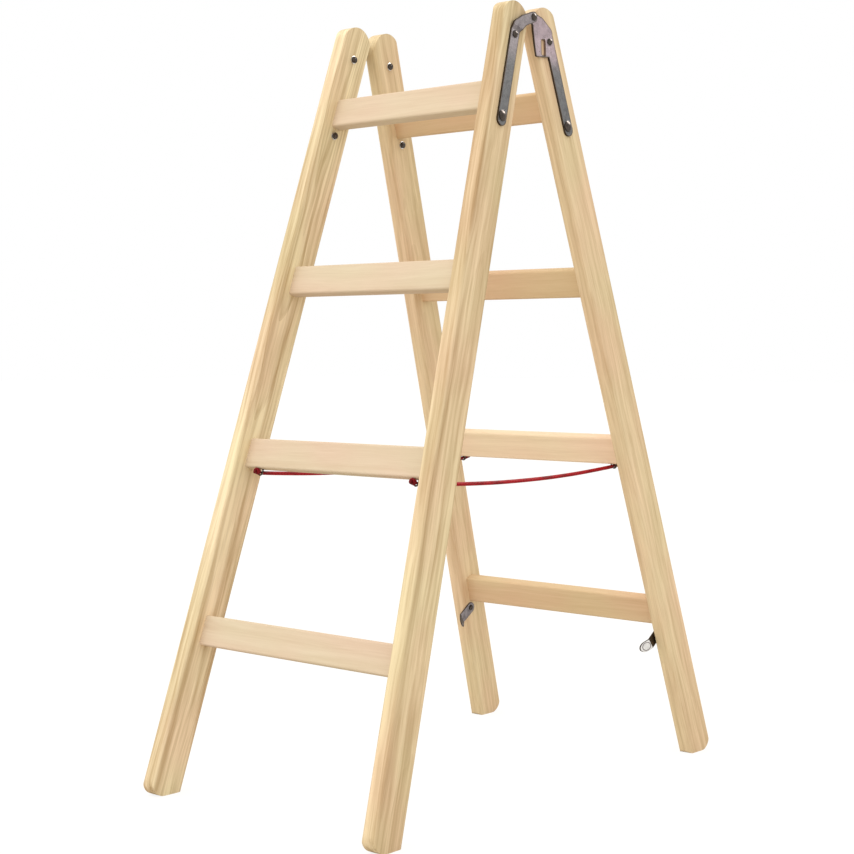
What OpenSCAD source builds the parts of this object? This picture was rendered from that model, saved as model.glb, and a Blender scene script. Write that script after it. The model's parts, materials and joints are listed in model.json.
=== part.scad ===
// Double-sided wooden step ladder: two splayed frames with four rungs each,
// hinged at their tops by steel fittings and held apart by two cords.
// X runs across the rungs, Y from the front frame to the rear frame, Z up.
// The origin is on the floor, midway between the four feet. Millimetres.

/* [Ladder] */
// Lean of each frame from upright when the ladder stands open, degrees
lean = 17; // [12:0.5:20]
// Length of a stile along its inner edge, from its top to the floor
stile_len = 1232; // [1180:2:1400]
// Width over the two stiles of a frame at their tops
top_w = 345; // [320:5:380]
// Width over the two stiles of a frame at the floor
foot_w = 476; // [440:2:520]
// Gap between the two frames when the ladder is folded
fold_gap = 3; // [2:0.5:6]

/* [Stiles] */
// Size of a stile from its inner edge to its outer edge
stile_w = 60; // [54:1:66]
// Thickness of a stile
stile_t = 24; // [21:1:30]
// Rounding along the stiles' long edges
stile_edge_r = 5; // [2:0.5:8]
// Radius of a foot's corner on the outer edge
foot_outer_r = 22; // [10:1:26]
// Radius of a foot's corner on the inner edge
foot_inner_r = 6; // [3:1:12]

/* [Rungs] */
// Height of a rung, measured along the stiles
rung_h = 46; // [40:1:54]
// Thickness of a rung
rung_t = 20; // [16:1:24]
// Rounding along the rungs' long edges
rung_edge_r = 3.5; // [1:0.5:6]
// Distance from the stile tops down to the middle of the first rung
rung_first = 148; // [140:1:160]
// Distance from one rung to the next
rung_pitch = 280; // [270:1:285]
// Height of a rung's tenon
tenon_h = 34; // [24:1:38]
// Thickness of a rung's tenon
tenon_t = 12; // [8:1:14]
// Length of a rung's tenon
tenon_len = 16; // [10:1:18]
// Glue gap around a tenon in its mortise
tenon_fit = 0.15; // [0.05:0.05:0.4]

/* [Hinge fittings] */
// Thickness of the hinge plates
plate_t = 3; // [2:0.5:4]
// Width of the hinge straps
strap_w = 20; // [16:1:24]
// Distance from the stile tops down to the hinge pivot
pivot_drop = 10; // [6:1:14]
// Radius of the plates around the pivot
eye_r = 8; // [7.5:0.5:13]
// Distance from the stile tops down to the arms' shoulder
shoulder_drop = 40; // [36:1:44]
// Distance from the stile tops down to where the plates bend onto the stile
bend_drop = 45; // [44:0.5:47]
// Height of the step that takes the arms out over the slotted plates
step_h = 6; // [5:0.5:8]
// Distance from the stile tops down to the upper bolts
upper_bolt_drop = 52; // [50:1:56]
// Distance from the stile tops down to the lower bolts
lower_bolt_drop = 182; // [120:1:200]
// How far a strap runs on past the centre of its lower bolt
strap_past_bolt = 15; // [13:1:25]
// Size of the slot in the slotted plates
slot_size = [9.5, 24]; // [6:0.5:30]
// Gap between hinge plates that turn on each other
plate_gap = 0.1; // [0.05:0.05:0.3]
// Clearance under a slotted plate's tail, which crosses the other frame's stile when folded
tail_lift = 0.3; // [0.2:0.1:0.6]
// Radius of the pivot rivet's shank
rivet_r = 4; // [3:0.5:5]
// Radius of the pivot rivet's domed head
rivet_head_r = 6; // [5:0.5:7.5]
// Height of the pivot rivet's domed head
rivet_head_h = 3.5; // [2:0.5:5]
// Radial clearance around the pivot rivet
pin_fit = 0.08; // [0.02:0.01:0.1]

/* [Bolts] */
// Radius of the bolts' shanks
bolt_r = 3; // [2.5:0.5:4]
// Radius of the upper bolts' heads
upper_head_r = 5.5; // [5:0.5:6]
// Radius of the lower bolts' heads
lower_head_r = 8.5; // [6:0.5:9.5]
// Height of the bolt heads
bolt_head_h = 4; // [2:0.5:5]
// Radius of the washers
washer_r = 6.25; // [6:0.25:12]
// Thickness of the washers
washer_t = 1; // [0.8:0.1:2.5]
// Size of the nuts across their flats
nut_flats = 10; // [9:0.5:14]
// Thickness of the nuts
nut_t = 3; // [2.5:0.5:7]
// How far a bolt stands out of its nut
bolt_end = 1; // [0.5:0.5:4]
// Radial clearance around the bolts
bolt_fit = 0.1; // [0.05:0.05:0.4]

/* [Cords and staples] */
// Diameter of the spreader cords
cord_d = 6; // [4:0.5:7]
// Distance from the middle of the ladder to each cord
cord_x = 160; // [140:1:165]
// Radius of the staples' wire
wire_r = 1.2; // [0.8:0.1:1.5]
// Length of a staple's leg inside the rung
staple_leg = 14; // [8:1:20]
// Gap between a cord and what holds it
cord_fit = 0.3; // [0.2:0.05:0.5]
// Gap around a staple's leg in the rung
staple_fit = 0.05; // [0.02:0.01:0.1]
// Length of a knot
knot_len = 12; // [9:1:16]
// Radius of a knot
knot_r = 5; // [4:0.1:8]

/* [Latches] */
// Distance from the stile tops down to the latch screws
latch_drop = 1022; // [1022:1:1060]
// Distance from the rear stiles' inner edge to the latch screws
latch_inset = 17; // [16:1:26]
// Length of a latch from its screw to the middle of its thumb pad
latch_len = 36; // [34:1:38]
// How far the latches point down from square to the stile, degrees
latch_tilt = 18; // [10:1:60]
// Radius of a latch's end around its screw
latch_r = 9.5; // [6:0.5:9.5]
// Radius of a latch's thumb pad
latch_pad_r = 9.5; // [7:0.5:9.5]
// Thickness of a latch's sheet
latch_t = 2; // [1.5:0.5:3]
// Distance from a latch's screw to where it bends away from the stile
latch_bend = 29; // [27:1:31]
// How far a latch's pad is bent away from the stile, degrees
latch_turn = 34; // [5:1:45]
// Gap on both sides of a latch's sheet
latch_gap = 0.3; // [0.1:0.1:0.5]
// Radius of the latch screws' shanks
screw_r = 2.2; // [1.5:0.1:3]
// Radius of the latch screws' heads
screw_head_r = 5; // [4:0.5:6]
// Height of the latch screws' heads
screw_head_h = 2.5; // [1.5:0.5:4]
// Length of a latch screw inside the stile
screw_len = 16; // [10:1:18]

/* [Hidden] */
$fn = 48;

// Colours
pine = [0.91, 0.80, 0.62];
pine_rung = [0.93, 0.83, 0.67];
zinc = [0.55, 0.54, 0.50];
zinc_dark = [0.45, 0.44, 0.41];
cord_red = [0.62, 0.07, 0.10];

// Each frame is drawn about the pivot axis: Y away from the other frame, Z up along the stiles.
half_gap = fold_gap / 2;
pivot_z = (stile_len - pivot_drop) * cos(lean) - half_gap * sin(lean);
splay = atan((foot_w - top_w) / 2 / stile_len);
stile_y = half_gap + stile_w / 2;
outer_x = top_w / 2 + pivot_drop * tan(splay);
beyond = stile_w + stile_t;

// Height above the pivot of what lies a distance down from the stile tops
function level(drop) = pivot_drop - drop;

// Height above the pivot of the floor at a distance y from the pivot
function floor_z(y) = -(pivot_z + y * sin(lean)) / cos(lean);

// Half the clear width between a frame's stiles at height z
function inner_x(z) = outer_x - stile_t / cos(splay) - z * tan(splay);

// Outer face of the right stile at height z
function face_x(z) = outer_x - z * tan(splay);

// Height along a stile at which its inner face crosses height z
function along_stile(z) = (z + stile_t * sin(splay)) / cos(splay);

function rung_drop(i) = rung_first + (i - 1) * rung_pitch;

// Hinge outline points, from the pivot
shoulder = [stile_y, level(shoulder_drop)];
shoulder_r = strap_w / 2 + 0.5;
lobe = [stile_y / 2, level((pivot_drop + shoulder_drop) / 2)];
lobe_r = 13;
knee = [20, -15];
knee_r = 8.5;
strap_end = [stile_y, level(lower_bolt_drop + strap_past_bolt - strap_w / 2)];
tail_root = [-2.5, -11];
tail_heel = [-9, -57.5];
tail_toe = [24.5, -64.5];
tail_side = [30, -24];
tail_corner_r = 3;
slot_corner = [21.5, -53.5];
bend_z = level(bend_drop);
low_z = strap_end.y - strap_w;
head_x = face_x(bend_z);
arm_x = head_x + plate_t + plate_gap;
step_angle = atan((arm_x - head_x) / step_h);
plate_out = plate_t / cos(splay);
strap_reach = face_x(low_z) - outer_x + 3 * plate_t;

// How far a bar lies inside its round ends, so that their edges cross cleanly
link_inset = 0.06;

// Pivot rivet's flat tail, between the plates and the stiles
rivet_tail_r = 6.5;
rivet_tail_t = 1.1;

// The cord's line through its staple, as far under the third rung as the knot behind it needs
cord_rung = 3;
cord_r = cord_d / 2;
rung_under = level(rung_drop(cord_rung) + rung_h / 2);
cord_line_z = rung_under - knot_r - cord_fit;
staple_half = cord_r + cord_fit + wire_r;
knot_y = stile_y + wire_r + cord_fit;
turn_y = stile_y - wire_r - cord_r - 2.5 * cord_fit;
stub_y = turn_y + cord_r + cord_fit;

// Route of a front cord from its turning point at the staple to mid-span, as [y, z]
cord_route = [
    [-237.5, 481.4], [-222, 480.2], [-207, 479.2], [-192, 478.2], [-177, 477.3], [-162, 476.4],
    [-147, 475.6], [-132, 474.9], [-117, 474.3], [-102, 473.8], [-87, 473.3], [-72, 472.9],
    [-57, 472.6], [-42, 472.4], [-28, 472.3], [-14, 472.2], [-0.1, 472.2]
];
cord_sides = 10;

// Round end of the cord at its turning point, as [distance back, radius] in cord radii
cord_tip = [[0.95, 0.3], [0.75, 0.66], [0.4, 0.92]];

/* Helpers */

module at_rear() {
    translate([0, 0, pivot_z]) rotate([lean, 0, 0]) children();
}

module at_front() {
    translate([0, 0, pivot_z]) rotate([-lean, 0, 0]) mirror([0, 1, 0]) children();
}

// Puts a right-hand piece on the side: 1 right, -1 left
module on_side(side) {
    if (side > 0) children();
    else mirror([1, 0, 0]) children();
}

// X out of the right stile's outer face, Z up along the stile, at pivot height
module at_stile() {
    translate([outer_x, 0, 0]) rotate([0, -splay, 0]) children();
}

// A flat outline in Y and Z, thickened along X
module slab(x, thickness) {
    translate([x, 0, 0]) rotate([90, 0, 90]) linear_extrude(thickness) children();
}

// A round bar along X
module rod(x, length, r) {
    translate([x, 0, 0]) rotate([0, 90, 0]) cylinder(h = length, r = r);
}

module rounded_rect(size, r) {
    translate([r, 0]) square([size.x - 2 * r, size.y]);
    translate([0, r]) square([size.x, size.y - 2 * r]);
    for (x = [r, size.x - r], y = [r, size.y - r]) translate([x, y]) circle(r);
}

function polar(r, angle) = r * [cos(angle), sin(angle)];

// Two circles joined by a bar almost as wide as they are
module link(p, p_r, q, q_r) {
    along = atan2(q.y - p.y, q.x - p.x);
    spread = acos((p_r - q_r) / norm(q - p));
    p_bar = p_r - link_inset;
    q_bar = q_r - link_inset;
    translate(p) circle(p_r);
    translate(q) circle(q_r);
    polygon([
        p + polar(p_bar, along + spread), p + polar(p_bar, along - spread),
        q + polar(q_bar, along - spread), q + polar(q_bar, along + spread)
    ]);
}

function unit(v) = v / norm(v);

// Arc of radius r that rounds the corner b between a and c
function corner_arc(a, b, c, r, steps = 10) =
    let (
        u = unit(a - b),
        v = unit(c - b),
        half = acos(u * v) / 2,
        mid = b + unit(u + v) * r / sin(half),
        p = b + u * r / tan(half) - mid,
        q = b + v * r / tan(half) - mid,
        start = atan2(p.y, p.x),
        turn = (atan2(q.y, q.x) - start + 540) % 360 - 180
    )
    [for (i = [0:steps]) mid + polar(r, start + turn * i / steps)];

// Domed head along X, seated at x
module dome(x, r, h) {
    ball_r = (r * r + h * h) / (2 * h);
    translate([x, 0, 0]) rotate([0, 90, 0]) rotate_extrude() intersection() {
        translate([0, h - ball_r]) circle(ball_r, $fn = 96);
        square([r, h]);
    }
}

/* Frames */

// Side view of a stile: round top, and a foot cut level with the floor
module stile_outline() {
    inner = half_gap;
    outer = half_gap + stile_w;
    top_z = level(stile_w / 2);
    high_z = level(-stile_w);
    heel = [inner, floor_z(inner)];
    toe = [outer, floor_z(outer)];
    difference() {
        polygon(concat(
            [[inner, high_z], [outer, high_z]],
            corner_arc([outer, top_z], toe, heel, foot_outer_r),
            corner_arc(toe, heel, [inner, top_z], foot_inner_r)
        ));
        difference() {
            translate([-stile_w, top_z]) square(3 * stile_w);
            translate([stile_y, top_z]) circle(stile_w / 2, $fn = 96);
        }
    }
}

module tenon(i, fit) {
    z = along_stile(level(rung_drop(i)));
    root = 4;
    translate([-stile_t - root, stile_y - tenon_t / 2 - fit, z - tenon_h / 2 - fit])
        cube([root + tenon_len + fit, tenon_t + 2 * fit, tenon_h + 2 * fit]);
}

module stile() {
    difference() {
        intersection() {
            at_stile() translate([-stile_t, half_gap, -stile_len - beyond])
                linear_extrude(stile_len + 2 * beyond) rounded_rect([stile_t, stile_w], stile_edge_r);
            slab(0, foot_w) stile_outline();
        }
        at_stile() for (i = [1:4]) tenon(i, tenon_fit);
        at_bolts() rod(-stile_t - 1, stile_t + 2, bolt_r + bolt_fit);
    }
}

module rung(i) {
    z = level(rung_drop(i));
    low = z - rung_h / 2;
    high = z + rung_h / 2;
    intersection() {
        translate([-foot_w / 2, stile_y - rung_t / 2, low]) rotate([90, 0, 90])
            linear_extrude(foot_w) rounded_rect([rung_t, rung_h], rung_edge_r);
        translate([0, stile_y + rung_t, 0]) rotate([90, 0, 0]) linear_extrude(2 * rung_t)
            polygon([
                [-inner_x(low), low], [inner_x(low), low], [inner_x(high), high], [-inner_x(high), high]
            ]);
    }
    for (side = [1, -1]) on_side(side) at_stile() tenon(i, 0);
}

// A rung with the staples' holes in its underside
module cord_rung() {
    difference() {
        rung(cord_rung);
        at_staple_legs() cylinder(h = staple_leg + 1, r = wire_r + staple_fit);
    }
}

module any_rung(i) {
    color(pine_rung) {
        if (i == cord_rung) cord_rung();
        else rung(i);
    }
}

/* Hinge fittings */

module at_bolt(drop) {
    at_stile() translate([0, stile_y, level(drop)]) children();
}

module at_bolts() {
    for (drop = [upper_bolt_drop, lower_bolt_drop]) at_bolt(drop) children();
}

module strap() {
    link(shoulder, strap_w / 2, strap_end, strap_w / 2);
}

module bolt_holes() {
    at_bolts() rod(-1, plate_t + 2, bolt_r + bolt_fit);
}

// Sheet metal seen from its edge: an outline in X and Z, as wide as asked
module sheet(outline) {
    translate([0, 2 * stile_w, 0]) rotate([90, 0, 0]) linear_extrude(4 * stile_w) polygon(outline);
}

// Arm: a strap on the stile, stepped out over the slotted plate to the pivot
module hinge_arm() {
    color(zinc) difference() {
        intersection() {
            slab(outer_x - plate_t, strap_reach) {
                link([0, 0], eye_r, knee, knee_r);
                link(knee, knee_r, shoulder, shoulder_r);
                strap();
            }
            sheet([
                [arm_x, eye_r + 1], [arm_x, bend_z + step_h], [head_x, bend_z], [face_x(low_z), low_z],
                [face_x(low_z) + plate_out, low_z],
                [face_x(bend_z) + plate_out, bend_z - plate_t * tan(step_angle / 2)],
                [arm_x + plate_t, bend_z + step_h - plate_t * tan(step_angle / 2)],
                [arm_x + plate_t, eye_r + 1]
            ]);
        }
        rod(head_x, 3 * plate_t, rivet_r + pin_fit);
        bolt_holes();
    }
}

// The slotted plate's tail, its foot about level with the floor when the ladder stands open
module tail() {
    polygon(concat(
        [tail_root],
        corner_arc(tail_root, tail_heel, tail_toe, tail_corner_r),
        corner_arc(tail_heel, tail_toe, tail_side, tail_corner_r),
        [tail_side]
    ));
}

// Slotted plate: a strap on the stile that widens around the pivot
module hinge_plate() {
    color(zinc) difference() {
        intersection() {
            slab(outer_x - plate_t, strap_reach) {
                link([0, 0], eye_r, lobe, lobe_r);
                link(lobe, lobe_r, shoulder, shoulder_r);
                tail();
                strap();
            }
            sheet([
                [head_x, eye_r + 1], [head_x, bend_z], [face_x(low_z), low_z],
                [face_x(low_z) + plate_out, low_z],
                [head_x + plate_t, bend_z + plate_t * tan(splay / 2)], [head_x + plate_t, eye_r + 1]
            ]);
        }
        at_stile() slab(-plate_t, plate_t + tail_lift)
            translate([half_gap - stile_w, low_z]) square([stile_w, eye_r - low_z]);
        slab(outer_x, 4 * plate_t) rotate(-lean) translate(slot_corner) rounded_rect(slot_size, 2);
        rod(outer_x, 3 * plate_t, rivet_r + pin_fit);
        bolt_holes();
    }
}

// Pivot rivet: domed head outside, flat tail inside
module pivot_rivet() {
    head_seat = arm_x + plate_t + plate_gap;
    tail_seat = head_x - plate_gap;
    color(zinc_dark) {
        rod(tail_seat - rivet_tail_t, rivet_tail_t, rivet_tail_r);
        rod(tail_seat - rivet_tail_t, head_seat - tail_seat + rivet_tail_t + rivet_head_h / 2, rivet_r);
        dome(head_seat, rivet_head_r, rivet_head_h);
    }
}

module bolt(head_r) {
    through = stile_t + washer_t + nut_t + bolt_end;
    dome(plate_t, head_r, bolt_head_h);
    rod(-through, through + plate_t + bolt_head_h / 2, bolt_r);
}

module bolts() {
    color(zinc_dark) for (side = [1, -1]) on_side(side) {
        at_bolt(upper_bolt_drop) bolt(upper_head_r);
        at_bolt(lower_bolt_drop) bolt(lower_head_r);
    }
}

module washers() {
    color(zinc) for (side = [1, -1]) on_side(side) at_bolts() difference() {
        rod(-stile_t - washer_t, washer_t, washer_r);
        rod(-stile_t - washer_t - 1, washer_t + 2, bolt_r + bolt_fit);
    }
}

module nuts() {
    color(zinc_dark) for (side = [1, -1]) on_side(side) at_bolts() difference() {
        translate([-stile_t - washer_t - nut_t, 0, 0]) rotate([0, 90, 0])
            cylinder(h = nut_t, r = nut_flats / 2 / cos(30), $fn = 6);
        rod(-stile_t - washer_t - nut_t - 1, nut_t + 2, bolt_r + bolt_fit);
    }
}

/* Cords */

// Where the staples' legs enter the rung, both sides
module at_staple_legs() {
    for (side = [1, -1], leg = [-staple_half, staple_half])
        translate([side * cord_x + leg, stile_y, rung_under]) children();
}

module staples() {
    color(zinc_dark) {
        at_staple_legs() translate([0, 0, cord_line_z - rung_under])
            cylinder(h = rung_under - cord_line_z + staple_leg, r = wire_r, $fn = 24);
        for (side = [1, -1]) translate([side * cord_x, stile_y, cord_line_z]) rotate([-90, 0, 0])
            rotate_extrude(angle = 180) translate([staple_half, 0]) circle(wire_r, $fn = 24);
    }
}

// Knotted end of each cord, on the far side of its staple
module knots() {
    turn = knot_len / 4;
    color(cord_red) for (side = [1, -1]) translate([side * cord_x, 0, cord_line_z]) rotate([-90, 0, 0]) {
        translate([0, 0, stub_y]) cylinder(h = knot_y + knot_len / 2 - stub_y, r = cord_r);
        translate([0, 0, knot_y]) rotate_extrude() intersection() {
            square([knot_r, knot_len]);
            union() {
                square([knot_r - turn, knot_len]);
                for (z = [turn, knot_len - turn]) translate([knot_r - turn, z]) circle(turn);
            }
        }
    }
}

// Ring of a tube in the plane x = cord_x, around p and square to the direction along
function ring(p, along, r) = [
    for (i = [0:cord_sides - 1]) let (a = 360 * i / cord_sides)
        [cord_x + r * cos(a), p.x - r * sin(a) * along.y, p.y + r * sin(a) * along.x]
];

function route_direction(i) =
    unit(cord_route[min(i + 1, len(cord_route) - 1)] - cord_route[max(i - 1, 0)]);

// One half of a cord, from its turning point at the staple to mid-span
module cord_half() {
    first = route_direction(0);
    last = len(cord_route) - 1;
    rings = concat(
        [for (tip = cord_tip) ring(cord_route[0] - first * tip.x * cord_r, first, tip.y * cord_r)],
        [for (i = [0:last]) ring(cord_route[i], i == last ? [1, 0] : route_direction(i), cord_r)]
    );
    count = len(rings);
    sides = [
        for (k = [0:count - 2], i = [0:cord_sides - 1]) let (a = k * cord_sides, j = (i + 1) % cord_sides)
            [a + i, a + cord_sides + i, a + cord_sides + j, a + j]
    ];
    ends = [
        [for (i = [0:cord_sides - 1]) i],
        [for (i = [cord_sides - 1:-1:0]) (count - 1) * cord_sides + i]
    ];
    color(cord_red) polyhedron([for (r = rings) each r], concat(sides, ends), convexity = 4);
}

/* Latches */

module at_latch() {
    at_stile() translate([0, half_gap + latch_inset, level(latch_drop)]) children();
}

// Flat strap along Y from its screw, its end bent away from the stile as a round thumb pad
module latch() {
    near_x = -stile_t - latch_gap;
    past_bend = latch_len + latch_pad_r + 1 - latch_bend;
    pad_x = near_x - past_bend * tan(latch_turn);
    color(zinc) at_latch() rotate([180 + latch_tilt, 0, 0]) difference() {
        intersection() {
            slab(pad_x - 2 * latch_t, near_x - pad_x + 3 * latch_t)
                link([0, 0], latch_r, [latch_len, 0], latch_pad_r);
            translate([0, 0, -2 * latch_pad_r]) linear_extrude(4 * latch_pad_r) polygon([
                [near_x, -latch_r - 1], [near_x, latch_bend], [pad_x, latch_bend + past_bend],
                [pad_x - latch_t / cos(latch_turn), latch_bend + past_bend],
                [near_x - latch_t, latch_bend - latch_t * tan(latch_turn / 2)],
                [near_x - latch_t, -latch_r - 1]
            ]);
        }
        rod(near_x - latch_t - 1, latch_t + 2, screw_r + bolt_fit);
    }
}

module latch_screws() {
    head_x = -stile_t - 2 * latch_gap - latch_t;
    color(zinc_dark) for (side = [1, -1]) on_side(side) at_latch() {
        rod(head_x - 0.5, screw_len - head_x - stile_t + 0.5, screw_r);
        mirror([1, 0, 0]) dome(-head_x, screw_head_r, screw_head_h);
    }
}

module front_stile(side) {
    color(pine) at_front() on_side(side) stile();
}

module rear_stile(side) {
    color(pine) at_rear() on_side(side) difference() {
        stile();
        at_latch() rod(-stile_t - 1, screw_len + 1 + bolt_fit, screw_r + staple_fit);
    }
}

front_stile(-1);  // front_stile_left
front_stile(1);  // front_stile_right
rear_stile(-1);  // rear_stile_left
rear_stile(1);  // rear_stile_right
at_front() any_rung(1);  // front_rung_1
at_front() any_rung(2);  // front_rung_2
at_front() any_rung(3);  // front_rung_3
at_front() any_rung(4);  // front_rung_4
at_rear() any_rung(1);  // rear_rung_1
at_rear() any_rung(2);  // rear_rung_2
at_rear() any_rung(3);  // rear_rung_3
at_rear() any_rung(4);  // rear_rung_4
// Both hinges are one fitting: the left one is turned half round, its arm on the rear stile
at_rear() on_side(-1) hinge_arm();  // hinge_arm_left
at_front() hinge_arm();  // hinge_arm_right
at_front() on_side(-1) hinge_plate();  // hinge_plate_left
at_rear() hinge_plate();  // hinge_plate_right
at_rear() on_side(-1) pivot_rivet();  // pivot_rivet_left
at_front() pivot_rivet();  // pivot_rivet_right
at_front() bolts();  // front_bolts
at_front() washers();  // front_washers
at_front() nuts();  // front_nuts
at_rear() bolts();  // rear_bolts
at_rear() washers();  // rear_washers
at_rear() nuts();  // rear_nuts
at_front() staples();  // front_staples
at_rear() staples();  // rear_staples
at_front() knots();  // front_knots
at_rear() knots();  // rear_knots
on_side(-1) cord_half();  // cord_front_left
cord_half();  // cord_front_right
mirror([0, 1, 0]) on_side(-1) cord_half();  // cord_rear_left
mirror([0, 1, 0]) cord_half();  // cord_rear_right
at_rear() on_side(-1) latch();  // latch_left
at_rear() latch();  // latch_right
at_rear() latch_screws();
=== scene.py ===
import json
import math

import bpy
from mathutils import Euler, Matrix, Vector


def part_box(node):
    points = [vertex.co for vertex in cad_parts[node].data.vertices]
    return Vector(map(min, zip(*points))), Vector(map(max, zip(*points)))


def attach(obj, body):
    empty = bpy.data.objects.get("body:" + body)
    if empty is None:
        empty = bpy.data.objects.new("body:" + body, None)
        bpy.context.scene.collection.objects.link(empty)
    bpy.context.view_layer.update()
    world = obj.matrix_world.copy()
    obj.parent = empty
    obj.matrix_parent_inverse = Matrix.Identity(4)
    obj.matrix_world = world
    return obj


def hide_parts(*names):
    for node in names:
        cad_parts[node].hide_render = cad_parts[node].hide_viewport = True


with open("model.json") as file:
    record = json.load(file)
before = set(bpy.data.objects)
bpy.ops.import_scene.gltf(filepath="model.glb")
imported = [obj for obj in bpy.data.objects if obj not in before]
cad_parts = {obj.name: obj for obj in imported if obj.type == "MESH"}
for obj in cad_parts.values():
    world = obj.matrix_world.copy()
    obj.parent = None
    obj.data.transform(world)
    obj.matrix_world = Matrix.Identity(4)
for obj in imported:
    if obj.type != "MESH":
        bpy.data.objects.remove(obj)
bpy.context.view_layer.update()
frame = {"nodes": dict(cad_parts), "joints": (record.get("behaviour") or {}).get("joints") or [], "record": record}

bl_info = {
    "name": "Wooden Step Ladder",
    "version": (1, 0, 0),
    "blender": (4, 5, 0),
    "location": "View3D > Sidebar > Ladder",
    "description": "Dresses a double-sided wooden step ladder and its studio",
    "category": "Object",
}

MM = 0.001

# Lean of each frame from upright, half of what it folds by, and splay of the stiles, in radians
FOLD = frame["joints"][0]
LEAN = math.radians(FOLD["range_deg"][1] / 2)
SPLAY = math.radians(3.04)
PIVOT = Vector(FOLD["pos_m"])

# The cords' route from their turning point at the staple to mid-span, as (y, z) in metres, how far
# they are from the middle of the ladder, and how far down the stiles from the pivot they are knotted
CORD_ROUTE = [
    (-0.2375, 0.4814), (-0.222, 0.4802), (-0.207, 0.4792), (-0.192, 0.4782), (-0.177, 0.4773),
    (-0.162, 0.4764), (-0.147, 0.4756), (-0.132, 0.4749), (-0.117, 0.4743), (-0.102, 0.4738),
    (-0.087, 0.4733), (-0.072, 0.4729), (-0.057, 0.4726), (-0.042, 0.4724), (-0.028, 0.4723),
    (-0.014, 0.4722), (-0.0001, 0.4722),
]
CORD_X = 0.16
KNOT_DOWN = 0.7263

# Outer face of the stiles at the pivot's height, and the drop of the pivot from the stile tops
FACE_X = 0.17303
PIVOT_DROP = 0.010
STILE_THICK = 0.024
# From the pivot out to the stiles' middle line, and the bolts' drops from the stile tops
STILE_MIDDLE = 0.0315
PLATE_THICK = 0.003
BOLT_DROPS = {"upper": 0.052, "lower": 0.182}

# Corners of a box round the slot in a slotted plate, either side of the ladder, whose walls get a painted
# highlight
SLOT_NEAR = Vector((0, 0.0205, 1.1135))
SLOT_FAR = Vector((0, 0.0320, 1.1400))

# Finishes that more than one piece has
# Dark fastener steel: partly its own finish and partly painted reflection of darker surroundings
TURNED_STEEL = "Dark zinc on turned steel"
# Dark rims of the sheet metal, partly tarnish and partly painted shade
RIM_SHADE_STEEL = "Tarnished sheet steel"


def srgb(code):
    """The linear colour of an sRGB hex value."""
    parts = [int(code[i:i + 2], 16) / 255 for i in (1, 3, 5)]
    return [c / 12.92 if c <= 0.04045 else ((c + 0.055) / 1.055) ** 2.4 for c in parts]


WHITE = (*srgb("#FFFFFF"), 1)


# ---------------------------------------------------------------- settings


class LADDER_PG_wood(bpy.types.PropertyGroup):
    """Colours and grain of the pine"""
    stile_light: bpy.props.FloatVectorProperty(
        name="Stile Light Streaks", description="Colour of the palest streaks in the stiles",
        subtype="COLOR", size=3, min=0, max=1, default=srgb("#EFDAB6"))
    stile_dark: bpy.props.FloatVectorProperty(
        name="Stile Dark Streaks", description="Colour of the darkest streaks in the stiles",
        subtype="COLOR", size=3, min=0, max=1, default=srgb("#B1936A"))
    front_rung: bpy.props.FloatVectorProperty(
        name="Front Rungs", description="Colour of the pale front rungs",
        subtype="COLOR", size=3, min=0, max=1, default=srgb("#DAC8B1"))
    rear_rung: bpy.props.FloatVectorProperty(
        name="Rear Rungs", description="Colour of the yellower rear rungs",
        subtype="COLOR", size=3, min=0, max=1, default=srgb("#DFC3A0"))
    pale_rung: bpy.props.FloatVectorProperty(
        name="Pale Rung", description="Colour of the third rear rung, from a paler board",
        subtype="COLOR", size=3, min=0, max=1, default=srgb("#F5DDC2"))
    ring_width: bpy.props.FloatProperty(
        name="Ring Width", description="Distance from one growth ring to the next",
        unit="LENGTH", min=1 * MM, max=12 * MM, default=5 * MM)
    fibre_width: bpy.props.FloatProperty(
        name="Fibre Width", description="Width of the fine streaks along the grain",
        unit="LENGTH", min=0.2 * MM, max=4 * MM, default=2 * MM)


class LADDER_PG_metal(bpy.types.PropertyGroup):
    """Colours and dullness of the fittings"""
    plate: bpy.props.FloatVectorProperty(
        name="Plate Zinc", description="Colour of the zinc on the slotted plates",
        subtype="COLOR", size=3, min=0, max=1, default=srgb("#A39295"))
    arm: bpy.props.FloatVectorProperty(
        name="Arm Zinc",
        description="Colour of the duller zinc on the hinge arms and the latches' straps",
        subtype="COLOR", size=3, min=0, max=1, default=srgb("#8C8484"))
    # Painted light: this pale zinc is a painted highlight on the thumb pads and a painted reflection on the
    # washers
    pad: bpy.props.FloatVectorProperty(
        name="Pad Zinc",
        description="Colour of the bright zinc on the latches' thumb pads and the washers",
        subtype="COLOR", size=3, min=0, max=1, default=srgb("#E8E6E2"))
    strap: bpy.props.FloatVectorProperty(
        name="Strap Zinc",
        description="Colour of the zinc on the hinges' long straps, where hands have dulled it",
        subtype="COLOR", size=3, min=0, max=1, default=srgb("#6F6E6D"))
    # Partly tarnish and partly painted shade: the dark rims and sides of the sheet metal, and the dark staples
    edge: bpy.props.FloatVectorProperty(
        name="Tarnish", description="Colour of the sheet metal's dark, worn rims and of the staples",
        subtype="COLOR", size=3, min=0, max=1, default=srgb("#564C44"))
    fastener: bpy.props.FloatVectorProperty(
        name="Fastener Steel", description="Colour of the bolts, nuts, screws and rivets",
        subtype="COLOR", size=3, min=0, max=1, default=srgb("#564E48"))
    roughness: bpy.props.FloatProperty(
        name="Roughness", description="How dull the zinc of the hinges and the latches' straps is",
        subtype="FACTOR", min=0.05, max=1, default=0.34)


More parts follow.
